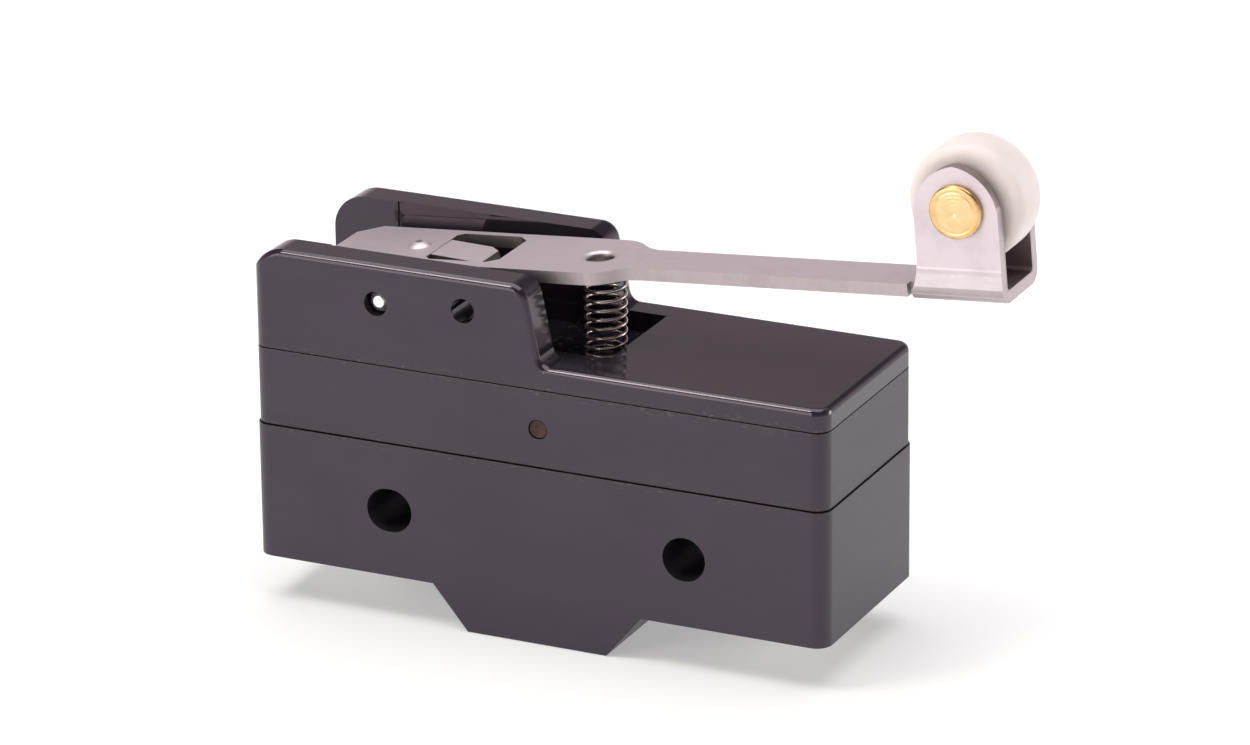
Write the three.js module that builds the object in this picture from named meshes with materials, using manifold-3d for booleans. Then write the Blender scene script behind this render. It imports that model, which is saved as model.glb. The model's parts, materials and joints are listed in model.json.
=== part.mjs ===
// Basic switch with a hinge roller lever, as an assembly of separate pieces.
// Millimetres. +X runs along the lever to the roller, +Y through the body, +Z up.
// The pieces are drawn with z = 0 under the foot and y = 0 in the middle of the body, and the
// last group moves them so that the origin lies between the mounting holes on the rear face.
import * as THREE from 'three';
import { mergeVertices } from 'three/addons/utils/BufferGeometryUtils.js';
import Module from 'manifold-3d';

const wasm = await Module();
wasm.setup();

// Body
const bodyLength = 49.2;
const bodyWidth = 17.45;
const upperInset = 0.1; // the middle case and cover stand this much inside the base
const cornerRadius = 1.3;
const seamGap = 0.1;
const baseTop = 14.7;
const middleTop = 21.1;
const coverTop = 23;
const wallTop = 29.4;
const shellWall = 1.9;
const coverEdge = 0.5; // rounding of the cover's outer edges

// Underside
const notchHeight = 3.6;
const footHalf = 6;
const footSlopeHalf = 9;

// Mounting holes
const holePitch = 25.4;
const holeHeight = 9.14;
const holeDiameter = 3.6;
const slotStretch = 0.3;
const holeBoss = 3.1;

// Resin plug in the front of the middle case
const sealX = 0.33;
const sealZ = 17.9;
const sealRadius = 0.8;

// Cover walls and the recess between them
const wallInner = 5.62;
const stepLeft = -18.8;
const stepDepth = 0.15;
const recessFront = 4.7;
const recessRear = 6;
const recessLeft = -22.4;
const recessRight = 4.6;
const recessFloor = 21.4;
const spigotBottom = 19.8;
const wallEndTop = -0.5;
const wallEndBottom = 0.35;
const wallLeftRadius = 2.8;
const wallRightRadius = 1.5;

// Lever and its pivot
const hingeX = -13.51;
const hingeZ = 26.21;
const spareX = -5.96;
const spareZ = 26.71;
const pinHoleRadius = 1;
const pinRadius = 0.85;
const pinRecess = 0.45;
const leverTilt = THREE.MathUtils.degToRad(4.82);
const sheet = 1;
const sheetTop = 2; // height of the sheet's upper face over the pivot, square to the sheet
const wideHalf = 4.2;
const armHalf = 2.285;
const earOuter = 5.2;
const pivotEarStart = -5.4;
const pivotEarRadius = 1.9;
const bracketHalf = 3.5;
const bracketStart = 43.75;
const bracketEnd = 50.55;
const bracketFlare = 0.7; // how far the foot of each ear runs back past its side
const bendOuter = 1.3;
const bendInner = 0.4;
const archRadius = 4;
const archOffset = 0.6;
const archSpringing = 7.9;
const reliefLength = 0.8;
const reliefDepth = 0.7;
const leverTip = -7.15;
const leverTipHalf = 2.4;
const leverShoulder = -5.6;
const wideEnd = 15.9;
const armStart = 19.8;
const windowStart = 1.5;
const windowEnd = 7.75;
const windowHalf = 3.25;
const windowShift = 0.25;
const tongueHalf = 1.85;
const tongueEnd = 5.7;
const tongueDrop = 0.45;
const dimpleU = -0.35;
const dimpleRadius = 0.95;
const dimpleHeight = 0.3;
const springHoleU = 15.45;
const springHoleRadius = 1.1;
const springHoleMouth = 1.48;
const springHoleRoll = 0.4;

// Roller
const axleU = 47.3;
const axleW = 8.4;
const axleRadius = 1.1;
const axleHeadRadius = 2.1;
const rollerDiameter = 9.5;
const rollerWidth = 4.8;
const rollerBore = 1.4;

// Return spring
const springX = 2.15;
const springRadius = 1.58;
const wireDiameter = 0.3;
const springBottom = 21.55;
const springTop = 28.1;
const springTurns = 10;

// Terminals, their screws and washers
const terminalX = 18.5;
const plateThickness = 0.8;
const plateHalfX = 4.2;
const plateHalfY = 4.4;
const endPlateTop = 5.3;
const footPlateTop = 3.9;
const stripWidth = 4;
const endRiser = 3.1; // from a plate's middle to its riser, at the two ends
const footRiser = 3.8; // the same under the foot
const commonShelf = 15.3;
const openShelf = 13;
const closedShelf = 18.25;
const screwRadius = 1.75;
const screwLength = 5.4;
const screwHeadRadius = 3.2;
const screwHeadHeight = 1.9;
const washerThickness = 0.5;

// Contacts and the snap mechanism
const bladeZ = 16.3;
const bladeThickness = 0.2;
const bladeHalf = 3;
const bladeStart = -20.6;
const bladeEnd = 17.4;
const contactX = 15.5;
const contactRadius = 1.6;
const contactGap = 0.55;
const anchorX = -19.4;
const anchorRadius = 0.9;
const leafStart = -16.9;
const leafEnd = -2.6;
const plungerX = -8.3;
const plungerRadius = 1.5;
const plungerTop = 26.95;

const steel = new THREE.MeshStandardMaterial({ color: 0xc5b8bc, roughness: 0.35, metalness: 1 });
const spring = new THREE.MeshStandardMaterial({ color: 0xa8a09c, roughness: 0.3, metalness: 1 });
const brass = new THREE.MeshStandardMaterial({ color: 0xe6be62, roughness: 0.3, metalness: 1 });
const silver = new THREE.MeshStandardMaterial({ color: 0xdedede, roughness: 0.25, metalness: 1 });
const bronze = new THREE.MeshStandardMaterial({ color: 0xc08a52, roughness: 0.35, metalness: 1 });
const phenolic = new THREE.MeshStandardMaterial({ color: 0x2b272b, roughness: 0.4, metalness: 0 });
const glossy = new THREE.MeshStandardMaterial({ color: 0x1f1c1f, roughness: 0.2, metalness: 0 });
const red = new THREE.MeshStandardMaterial({ color: 0x7c2a20, roughness: 0.4, metalness: 0 });
const brown = new THREE.MeshStandardMaterial({ color: 0x6b4f45, roughness: 0.6, metalness: 0 });
const nylon = new THREE.MeshStandardMaterial({ color: 0xf3ebe8, roughness: 0.45, metalness: 0 });

// A closed geometry as a solid that can be joined and cut.
function solid(geometry) {
  geometry.deleteAttribute('normal');
  geometry.deleteAttribute('uv');
  const merged = mergeVertices(geometry, 1e-5);
  return new wasm.Manifold(new wasm.Mesh({
    numProp: 3,
    vertProperties: new Float32Array(merged.attributes.position.array),
    triVerts: new Uint32Array(merged.index.array),
  }));
}

// A solid as a flat-shaded named mesh.
function piece(name, body, material) {
  const mesh = body.getMesh();
  const geometry = new THREE.BufferGeometry();
  geometry.setAttribute('position', new THREE.BufferAttribute(mesh.vertProperties, 3));
  geometry.setIndex(new THREE.BufferAttribute(mesh.triVerts, 1));
  geometry.computeVertexNormals();
  const result = new THREE.Mesh(geometry, material);
  result.name = name;
  return result;
}

function box(x0, x1, y0, y1, z0, z1) {
  const geometry = new THREE.BoxGeometry(x1 - x0, y1 - y0, z1 - z0);
  geometry.translate((x0 + x1) / 2, (y0 + y1) / 2, (z0 + z1) / 2);
  return solid(geometry);
}

function rodY(radius, x, z, y0, y1, sides = 24) {
  const geometry = new THREE.CylinderGeometry(radius, radius, y1 - y0, sides);
  geometry.translate(x, (y0 + y1) / 2, z);
  return solid(geometry);
}

function rodZ(radius, x, y, z0, z1, sides = 24) {
  const geometry = new THREE.CylinderGeometry(radius, radius, z1 - z0, sides);
  geometry.rotateX(Math.PI / 2);
  geometry.translate(x, y, (z0 + z1) / 2);
  return solid(geometry);
}

// A turned piece about the z axis: [radius, z] pairs from the bottom of the axis to its top.
function turned(profile, sides = 24) {
  const points = profile.map(([radius, z]) => new THREE.Vector2(radius, z));
  const geometry = new THREE.LatheGeometry(points, sides);
  geometry.rotateX(Math.PI / 2);
  return solid(geometry);
}

// An extrusion of the given depth whose two ends have their edges rounded.
function extrusion(shape, depth, curveSegments, edge) {
  return new THREE.ExtrudeGeometry(shape, {
    depth: depth - 2 * edge,
    curveSegments,
    bevelEnabled: edge > 0,
    bevelThickness: edge,
    bevelSize: edge,
    bevelOffset: -edge,
    bevelSegments: 3,
  });
}

// An outline drawn in x and z, carried through the body along y.
function sideCut(shape, y0, y1, curveSegments = 6, edge = 0) {
  const geometry = extrusion(shape, y1 - y0, curveSegments, edge);
  geometry.rotateX(Math.PI / 2);
  geometry.translate(0, y1 - edge, 0);
  return solid(geometry);
}

// An outline drawn in x and y, carried up along z.
function planCut(shape, z0, z1, curveSegments = 6, edge = 0) {
  const geometry = extrusion(shape, z1 - z0, curveSegments, edge);
  geometry.translate(0, 0, z0 + edge);
  return solid(geometry);
}

function outline(points) {
  return new THREE.Shape(points.map(([a, b]) => new THREE.Vector2(a, b)));
}

function roundedRectangle(x0, x1, y0, y1, radius) {
  const shape = new THREE.Shape();
  shape.moveTo(x0 + radius, y0);
  shape.lineTo(x1 - radius, y0);
  shape.absarc(x1 - radius, y0 + radius, radius, -Math.PI / 2, 0);
  shape.lineTo(x1, y1 - radius);
  shape.absarc(x1 - radius, y1 - radius, radius, 0, Math.PI / 2);
  shape.lineTo(x0 + radius, y1);
  shape.absarc(x0 + radius, y1 - radius, radius, Math.PI / 2, Math.PI);
  shape.lineTo(x0, y0 + radius);
  shape.absarc(x0 + radius, y0 + radius, radius, Math.PI, Math.PI * 1.5);
  return shape;
}

function bodyPlan(inset) {
  const halfX = bodyLength / 2 - inset;
  const halfY = bodyWidth / 2 - inset;
  return roundedRectangle(-halfX, halfX, -halfY, halfY, cornerRadius);
}

function cavity(z0, z1) {
  const halfX = bodyLength / 2 - shellWall;
  const halfY = bodyWidth / 2 - shellWall;
  return box(-halfX, halfX, -halfY, halfY, z0, z1);
}

// Lower moulding: foot, two end notches, bosses round the mounting holes, and blocks that
// hold the terminals and their screws.
function baseCase() {
  const half = bodyLength / 2 + 1;
  const profile = outline([
    [-footHalf, 0], [footHalf, 0], [footSlopeHalf, notchHeight], [half, notchHeight],
    [half, baseTop], [-half, baseTop], [-half, notchHeight], [-footSlopeHalf, notchHeight],
  ]);
  let body = planCut(bodyPlan(0), 0, baseTop).intersect(sideCut(profile, -bodyWidth, bodyWidth));
  const floor = notchHeight + 3.1;
  body = body.subtract(cavity(floor, baseTop + 1));
  const across = bodyWidth / 2 - 1;
  for (const side of [-1, 1]) {
    const blockInner = 15.9;
    const blockOuter = bodyLength / 2 - 1;
    const block = [side * blockInner, side * blockOuter].sort((a, b) => a - b);
    body = body.add(box(block[0], block[1], -across, across, floor - 1, 11));
    body = body.add(rodY(holeBoss, side * holePitch / 2, holeHeight, -across, across));
  }
  const footBoss = 3;
  body = body.add(rodZ(footBoss, 0, 0, floor - 1, 9.9));
  body = body.subtract(rodY(holeDiameter / 2, holePitch / 2, holeHeight, -bodyWidth, bodyWidth));
  for (const shift of [-slotStretch / 2, slotStretch / 2]) {
    const x = -holePitch / 2 + shift;
    body = body.subtract(rodY(holeDiameter / 2, x, holeHeight, -bodyWidth, bodyWidth));
  }
  return body.subtract(terminalSpaces());
}

// Pocket for each terminal plate, well for its screw and slot for its riser.
function terminalSpaces() {
  const clear = 0.2;
  const halfX = plateHalfX + clear;
  const halfY = plateHalfY + clear;
  const places = [
    [-terminalX, endPlateTop, -terminalX - endRiser],
    [0, footPlateTop, footRiser],
    [terminalX, endPlateTop, terminalX + endRiser],
  ];
  let spaces;
  for (const [x, top, riser] of places) {
    const pocket = box(x - halfX, x + halfX, -halfY, halfY, -1, top + 0.1);
    const well = rodZ(screwRadius + 0.25, x, 0, top, top + screwLength - 1);
    const slotHalf = stripWidth / 2 + 0.25;
    const slot = box(riser - 0.65, riser + 0.65, -slotHalf, slotHalf, top, baseTop);
    const space = pocket.add(well).add(slot);
    spaces = spaces ? spaces.add(space) : space;
  }
  return spaces;
}

// Middle moulding: a plain ring with one small hole in its front side.
function middleCase() {
  const bottom = baseTop + seamGap;
  const ring = planCut(bodyPlan(upperInset), bottom, middleTop).subtract(cavity(bottom - 1, middleTop + 1));
  return ring.subtract(rodY(sealRadius, sealX, sealZ, -bodyWidth, 0));
}

function sealPlug() {
  const front = -bodyWidth / 2 + upperInset;
  return rodY(sealRadius - 0.05, sealX, sealZ, front + 0.08, front + 1.4);
}

// Side outline of the cover walls, rounded at both upper ends and filleted at the right foot.
function wallOutline() {
  const left = -bodyLength / 2 + upperInset;
  const root = coverTop - 1.5;
  const endTurn = 0.2; // the right end leans by this angle
  const leftCentre = left + wallLeftRadius;
  const rightCentre = wallEndTop - wallRightRadius;
  const shape = new THREE.Shape();
  shape.moveTo(left, root);
  shape.lineTo(left, wallTop - wallLeftRadius);
  shape.absarc(leftCentre, wallTop - wallLeftRadius, wallLeftRadius, Math.PI, Math.PI / 2, true);
  shape.lineTo(rightCentre, wallTop);
  shape.absarc(rightCentre, wallTop - wallRightRadius, wallRightRadius, Math.PI / 2, endTurn, true);
  shape.lineTo(wallEndBottom, coverTop + 0.8);
  shape.quadraticCurveTo(wallEndBottom + 0.2, coverTop, wallEndBottom + 1, coverTop);
  shape.lineTo(wallEndBottom + 1, root);
  return shape;
}

// Upper moulding: plate with a locating spigot, two walls with a shallow step inside each, the
// recess that runs out past the walls, and the holes for the plunger and the pins.
function cover() {
  const bottom = middleTop + seamGap;
  const spigotX = bodyLength / 2 - shellWall - 0.2;
  const spigotY = bodyWidth / 2 - shellWall - 0.2;
  const outer = bodyWidth / 2 - upperInset;
  const plan = bodyPlan(upperInset);
  const rounded = planCut(plan, bottom - 1, coverTop, 6, coverEdge);
  let body = planCut(plan, bottom, coverTop).intersect(rounded);
  body = body.add(box(-spigotX, spigotX, -spigotY, spigotY, spigotBottom, bottom + 0.5));
  const walls = sideCut(wallOutline(), -outer, outer, 8, coverEdge);
  body = body.add(walls.intersect(planCut(plan, bottom, wallTop + 1)));
  const left = -bodyLength / 2 - 1;
  const stepHalf = wallInner + stepDepth;
  body = body.subtract(box(left, recessRight, -wallInner, wallInner, coverTop, wallTop + 1));
  body = body.subtract(box(stepLeft, recessRight, -stepHalf, stepHalf, coverTop, wallTop + 1));
  body = body.subtract(box(recessLeft, recessRight, -recessFront, wallInner, recessFloor, coverTop + 1));
  const wideLeft = wallEndBottom + 0.9;
  body = body.subtract(box(wideLeft, recessRight, -recessFront, recessRear, recessFloor, coverTop + 1));
  body = body.subtract(rodY(pinHoleRadius, hingeX, hingeZ, -bodyWidth, bodyWidth));
  body = body.subtract(rodY(pinHoleRadius, spareX, spareZ, -bodyWidth, bodyWidth));
  return body.subtract(rodZ(plungerRadius + 0.25, plungerX, 0, spigotBottom - 1, coverTop));
}

function hingePin() {
  const half = bodyWidth / 2 - upperInset - pinRecess;
  const flat = 0.53;
  const body = turned([[0, -half], [flat, -half], [pinRadius, -half + 0.3],
    [pinRadius, half - 0.3], [flat, half], [0, half]]);
  return body.rotate([90, 0, 0]).translate([hingeX, 0, hingeZ]);
}

// The lever is drawn square to its own sheet: u runs along the arm from the pivot, w is the
// height over the pivot, and the pivot itself is at u = 0 and w = 0.

// The sheet's plan, from the tapered tip to the end of the bracket, with a relief notch on each
// side where the arm meets the bracket.
function leverPlan() {
  const shape = new THREE.Shape();
  const footStart = bracketStart - bracketFlare;
  const reliefStart = footStart - reliefLength;
  const neckHalf = armHalf - reliefDepth;
  const floorHalf = bracketHalf - bendOuter;
  shape.moveTo(leverTip, leverTipHalf);
  shape.lineTo(leverTip, -leverTipHalf);
  shape.lineTo(leverShoulder, -wideHalf);
  shape.lineTo(wideEnd, -wideHalf);
  shape.bezierCurveTo(wideEnd + 2, -wideHalf, armStart - 2, -armHalf, armStart, -armHalf);
  shape.lineTo(reliefStart, -armHalf);
  shape.lineTo(reliefStart, -neckHalf);
  shape.lineTo(footStart, -neckHalf);
  shape.lineTo(footStart, -floorHalf);
  shape.lineTo(bracketEnd, -floorHalf);
  shape.lineTo(bracketEnd, floorHalf);
  shape.lineTo(footStart, floorHalf);
  shape.lineTo(footStart, neckHalf);
  shape.lineTo(reliefStart, neckHalf);
  shape.lineTo(reliefStart, armHalf);
  shape.lineTo(armStart, armHalf);
  shape.bezierCurveTo(armStart - 2, armHalf, wideEnd + 2, wideHalf, wideEnd, wideHalf);
  shape.lineTo(leverShoulder, wideHalf);
  return shape;
}

function windowPlan() {
  const front = windowShift - windowHalf;
  const rear = windowShift + windowHalf;
  const corner = 0.5;
  const farCorner = 0.85;
  return outline([
    [windowStart, front + corner], [windowStart + corner, front], [windowEnd - farCorner, front],
    [windowEnd, front + farCorner], [windowEnd, rear - farCorner], [windowEnd - farCorner, rear],
    [windowStart + corner, rear], [windowStart, rear - corner],
  ]);
}

// Channel section, open upwards, with rounded bends; drawn in y and height.
function channelSection(outer, depth) {
  const inner = outer - sheet;
  const quarter = Math.PI / 2;
  const shape = new THREE.Shape();
  shape.moveTo(-outer + bendOuter, 0);
  shape.lineTo(outer - bendOuter, 0);
  shape.absarc(outer - bendOuter, bendOuter, bendOuter, -quarter, 0);
  shape.lineTo(outer, depth);
  shape.lineTo(inner, depth);
  shape.absarc(inner - bendInner, sheet + bendInner, bendInner, 0, -quarter, true);
  shape.absarc(-inner + bendInner, sheet + bendInner, bendInner, -quarter, -2 * quarter, true);
  shape.lineTo(-inner, depth);
  shape.lineTo(-outer, depth);
  shape.absarc(-outer + bendOuter, bendOuter, bendOuter, 2 * quarter, 3 * quarter);
  return shape;
}

// A channel that runs along u from u0 to u1, with its floor at height w; flip points it down.
function channel(outer, depth, u0, u1, w, flip) {
  const options = { depth: u1 - u0, bevelEnabled: false, curveSegments: 5 };
  const geometry = new THREE.ExtrudeGeometry(channelSection(outer, depth), options);
  geometry.rotateX(Math.PI / 2);
  geometry.rotateZ(Math.PI / 2);
  if (flip) {
    geometry.rotateX(Math.PI);
  }
  geometry.translate(u0, 0, w);
  return solid(geometry);
}

// Side view of the bracket ears: upright sides, a foot that flares back, a slightly pointed arch.
function archOutline() {
  const middle = (bracketStart + bracketEnd) / 2;
  const tip = Math.acos(archOffset / archRadius);
  const low = sheetTop - sheet;
  const shape = new THREE.Shape();
  shape.moveTo(bracketStart - bracketFlare, low - 1);
  shape.lineTo(bracketEnd, low - 1);
  shape.lineTo(bracketEnd, archSpringing);
  shape.absarc(middle - archOffset, archSpringing, archRadius, 0, tip);
  shape.absarc(middle + archOffset, archSpringing, archRadius, Math.PI - tip, Math.PI);
  shape.lineTo(bracketStart, low + 3.6);
  shape.quadraticCurveTo(bracketStart - 0.1, low + 1.5, bracketStart - bracketFlare, low + 0.9);
  return shape;
}

// Side view of the pivot ears, round about the pin.
function pivotOutline() {
  const shape = new THREE.Shape();
  shape.moveTo(pivotEarStart, sheetTop + 1);
  shape.lineTo(pivotEarStart, 0.2);
  shape.lineTo(-1, -pivotEarRadius);
  shape.absarc(0, 0, pivotEarRadius, -Math.PI / 2, 0);
  shape.lineTo(pivotEarRadius, sheetTop + 1);
  return shape;
}

// Tab left in the window: it slopes down to its free end, which is rolled over.
function tongue() {
  const low = sheetTop - sheet;
  const shape = outline([
    [1, low], [tongueEnd - 1, low - tongueDrop], [tongueEnd - 0.3, low - tongueDrop - 0.25],
    [tongueEnd, low - tongueDrop + 0.2], [tongueEnd - 0.15, sheetTop - tongueDrop - 0.3],
    [tongueEnd - 0.6, sheetTop - tongueDrop], [1, sheetTop],
  ]);
  return sideCut(shape, -tongueHalf, tongueHalf);
}

function lever() {
  const low = sheetTop - sheet;
  const across = bodyWidth;
  const bracket = channel(bracketHalf, 12, bracketStart - bracketFlare, bracketEnd, low, false);
  const pivot = channel(earOuter, 5, pivotEarStart, pivotEarRadius, sheetTop, true);
  const mouth = turned([[0, -sheet - 1], [springHoleRadius, -sheet - 1],
    [springHoleRadius, -springHoleRoll], [springHoleRadius + 0.12, -0.15],
    [springHoleMouth, 0], [springHoleMouth, 1], [0, 1]]);
  const dimple = turned([[0, -0.5], [dimpleRadius, -0.5], [dimpleRadius, 0],
    [dimpleRadius * 0.7, dimpleHeight * 0.75], [0, dimpleHeight]]);
  let body = planCut(leverPlan(), low, sheetTop, 8);
  body = body.add(bracket.intersect(sideCut(archOutline(), -across, across, 10)));
  body = body.add(pivot.intersect(sideCut(pivotOutline(), -across, across)));
  body = body.subtract(planCut(windowPlan(), low - 1, sheetTop + 1));
  body = body.add(tongue().translate([0, windowShift / 2, 0]));
  body = body.subtract(rodY(pinHoleRadius + 0.1, 0, 0, -across, across));
  body = body.subtract(rodY(axleRadius + 0.2, axleU, axleW, -across, across));
  body = body.add(dimple.translate([dimpleU, 0, sheetTop]));
  return body.subtract(mouth.translate([springHoleU, 0, sheetTop]));
}

function roller() {
  const half = rollerWidth / 2;
  const radius = rollerDiameter / 2;
  const edge = 0.3;
  const body = turned([[0, -half], [radius - edge, -half], [radius, -half + edge],
    [radius, half - edge], [radius - edge, half], [0, half]], 48);
  const bore = rodZ(rollerBore, 0, 0, -half - 1, half + 1);
  return body.subtract(bore).rotate([90, 0, 0]);
}

function rollerAxle() {
  const inside = bracketHalf + 0.1;
  const outside = inside + 0.4;
  const crown = outside + 0.1;
  const body = turned([[0, -crown], [axleHeadRadius * 0.7, -crown], [axleHeadRadius, -outside],
    [axleHeadRadius, -inside], [axleRadius, -inside], [axleRadius, inside],
    [axleHeadRadius, inside], [axleHeadRadius, outside], [axleHeadRadius * 0.7, crown], [0, crown]]);
  return body.rotate([90, 0, 0]);
}

// Compression spring: a helix with a closed turn at each end.
class Helix extends THREE.Curve {
  getPoint(t, target = new THREE.Vector3()) {
    const angle = t * springTurns * Math.PI * 2;
    const endTurn = 1 / springTurns;
    const share = THREE.MathUtils.clamp((t - endTurn) / (1 - 2 * endTurn), 0, 1);
    const ends = wireDiameter * 1.1;
    const climb = Math.min(t / endTurn, 1) + Math.max((t - 1 + endTurn) / endTurn, 0);
    const z = springBottom + climb * ends + share * (springTop - springBottom - 2 * ends);
    return target.set(springRadius * Math.cos(angle), springRadius * Math.sin(angle), z);
  }
}

function returnSpring() {
  const wire = new THREE.Shape();
  wire.absarc(0, 0, wireDiameter / 2, 0, Math.PI * 2);
  const options = { steps: springTurns * 14, curveSegments: 6, extrudePath: new Helix() };
  const geometry = new THREE.ExtrudeGeometry(wire, options);
  geometry.translate(springX, 0, 0);
  return solid(geometry);
}

// Pin that the tongue presses: domed top, stem, flange under the cover, and a thin tip.
function plunger() {
  const flangeTop = spigotBottom - 0.1;
  const flangeBottom = flangeTop - 0.8;
  const tipBottom = bladeZ + bladeThickness + 0.15;
  const body = turned([[0, tipBottom], [0.7, tipBottom], [0.9, tipBottom + 0.3],
    [0.9, flangeBottom], [2.5, flangeBottom], [2.5, flangeTop], [plungerRadius, flangeTop],
    [plungerRadius, plungerTop - 0.7], [1.1, plungerTop - 0.2], [0.5, plungerTop], [0, plungerTop]]);
  return body.translate([plungerX, 0, 0]);
}

// Terminal plate with its screw hole, and a strip that rises from it and bends to a shelf.
function terminal(x, top, riser, shelfEnd, shelfZ) {
  const half = stripWidth / 2;
  const thick = plateThickness;
  let body = box(x - plateHalfX, x + plateHalfX, -plateHalfY, plateHalfY, top - thick, top);
  body = body.subtract(rodZ(screwRadius + 0.15, x, 0, top - thick - 1, top + 1));
  body = body.add(box(riser - thick / 2, riser + thick / 2, -half, half, top - thick, shelfZ + thick));
  const ends = [riser, shelfEnd].sort((a, b) => a - b);
  return body.add(box(ends[0], ends[1], -half, half, shelfZ, shelfZ + thick));
}

function commonTerminal() {
  const body = terminal(-terminalX, endPlateTop, -terminalX - endRiser, -16.4, commonShelf);
  return body.subtract(rodZ(anchorRadius + 0.1, anchorX, 0, commonShelf - 1, commonShelf + 2));
}

function openTerminal() {
  return terminal(0, footPlateTop, footRiser, contactX + 1.9, openShelf);
}

function closedTerminal() {
  return terminal(terminalX, endPlateTop, terminalX + endRiser, contactX - 1.9, closedShelf);
}

function anchorRivet() {
  const top = bladeZ + bladeThickness + 0.15;
  const bottom = commonShelf - 0.1;
  const body = turned([[0, bottom - 0.6], [1.3, bottom - 0.6], [1.6, bottom], [anchorRadius, bottom],
    [anchorRadius, top], [1.6, top], [1.3, top + 0.6], [0, top + 0.6]]);
  return body.translate([anchorX, 0, 0]);
}

function terminalScrew(x, plateTop) {
  const under = plateTop - plateThickness - washerThickness - 0.1;
  const bottom = under - screwHeadHeight;
  let body = turned([[0, bottom], [screwHeadRadius - 0.5, bottom], [screwHeadRadius, bottom + 0.5],
    [screwHeadRadius, under], [screwRadius, under], [screwRadius, under + screwLength - 0.5],
    [screwRadius - 0.5, under + screwLength], [0, under + screwLength]]);
  body = body.subtract(box(-screwHeadRadius, screwHeadRadius, -0.4, 0.4, bottom - 1, bottom + 0.9));
  body = body.subtract(box(-0.4, 0.4, -screwHeadRadius, screwHeadRadius, bottom - 1, bottom + 0.9));
  return body.translate([x, 0, 0]);
}

// Washer with a ring of teeth round its edge.
function toothedWasher(x, plateTop) {
  const teeth = 10;
  const shape = new THREE.Shape();
  for (let i = 0; i < teeth * 2; i += 1) {
    const radius = i % 2 ? 3.3 : 3.9;
    for (const share of [-0.3, 0.3]) {
      const angle = (i + share) * Math.PI / teeth;
      const point = [radius * Math.cos(angle), radius * Math.sin(angle)];
      if (i === 0 && share < 0) {
        shape.moveTo(point[0], point[1]);
      } else {
        shape.lineTo(point[0], point[1]);
      }
    }
  }
  const top = plateTop - plateThickness - 0.05;
  const disc = planCut(shape, top - washerThickness, top);
  return disc.subtract(rodZ(screwRadius + 0.2, 0, 0, top - 2, top + 1)).translate([x, 0, 0]);
}

// Spring strip with a window for the tension leaf, a hole for its rivet and one for the contact.
function movingBlade() {
  const top = bladeZ + bladeThickness;
  let body = planCut(roundedRectangle(bladeStart, bladeEnd, -bladeHalf, bladeHalf, 0.6), bladeZ, top);
  body = body.subtract(box(leafStart - 0.3, leafEnd + 1, -1.8, 1.8, bladeZ - 1, top + 1));
  body = body.subtract(rodZ(anchorRadius + 0.2, anchorX, 0, bladeZ - 1, top + 1));
  return body.subtract(rodZ(0.8, contactX, 0, bladeZ - 1, top + 1));
}

function tensionLeaf() {
  return box(leafStart, leafEnd, -1.3, 1.3, bladeZ, bladeZ + bladeThickness);
}

function movingContact() {
  const low = bladeZ - 0.65;
  const high = bladeZ + bladeThickness + 0.65;
  const gap = 0.02;
  const body = turned([[0, low], [contactRadius, low], [contactRadius, bladeZ - gap],
    [0.75, bladeZ - gap], [0.75, bladeZ + bladeThickness + gap],
    [contactRadius, bladeZ + bladeThickness + gap], [contactRadius, high], [0, high]]);
  return body.translate([contactX, 0, 0]);
}

function openContact() {
  return rodZ(contactRadius, contactX, 0, openShelf + plateThickness + 0.02, bladeZ - 0.65 - contactGap);
}

function closedContact() {
  const low = bladeZ + bladeThickness + 0.7;
  return rodZ(contactRadius, contactX, 0, low, closedShelf - 0.02);
}

// Everything on the lever sits in a group that turns about the pin.
const leverGroup = new THREE.Group();
leverGroup.position.set(hingeX, 0, hingeZ);
leverGroup.rotation.y = -leverTilt;
leverGroup.add(piece('lever', lever(), steel));

const rollerGroup = new THREE.Group();
rollerGroup.position.set(axleU, 0, axleW);
rollerGroup.add(piece('roller', roller(), nylon));
rollerGroup.add(piece('roller_axle', rollerAxle(), brass));
leverGroup.add(rollerGroup);

const group = new THREE.Group();
group.position.set(0, -bodyWidth / 2, -holeHeight);
group.add(leverGroup);
group.add(piece('base_case', baseCase(), phenolic));
group.add(piece('middle_case', middleCase(), phenolic));
group.add(piece('cover', cover(), glossy));
group.add(piece('seal_plug', sealPlug(), brown));
group.add(piece('hinge_pin', hingePin(), steel));
group.add(piece('return_spring', returnSpring(), spring));
group.add(piece('plunger', plunger(), red));
group.add(piece('common_terminal', commonTerminal(), brass));
group.add(piece('open_terminal', openTerminal(), brass));
group.add(piece('closed_terminal', closedTerminal(), brass));
group.add(piece('anchor_rivet', anchorRivet(), brass));
group.add(piece('moving_blade', movingBlade(), bronze));
group.add(piece('tension_leaf', tensionLeaf(), bronze));
group.add(piece('moving_contact', movingContact(), silver));
group.add(piece('open_contact', openContact(), silver));
group.add(piece('closed_contact', closedContact(), silver));

const screwPlaces = [
  ['common', -terminalX, endPlateTop],
  ['open', 0, footPlateTop],
  ['closed', terminalX, endPlateTop],
];
for (const [name, x, plateTop] of screwPlaces) {
  group.add(piece(`${name}_screw`, terminalScrew(x, plateTop), steel));
  group.add(piece(`${name}_washer`, toothedWasher(x, plateTop), steel));
}

export default group;
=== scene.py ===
import json
import math

import bmesh
import bpy
import numpy as np
from mathutils import Matrix, Vector


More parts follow.
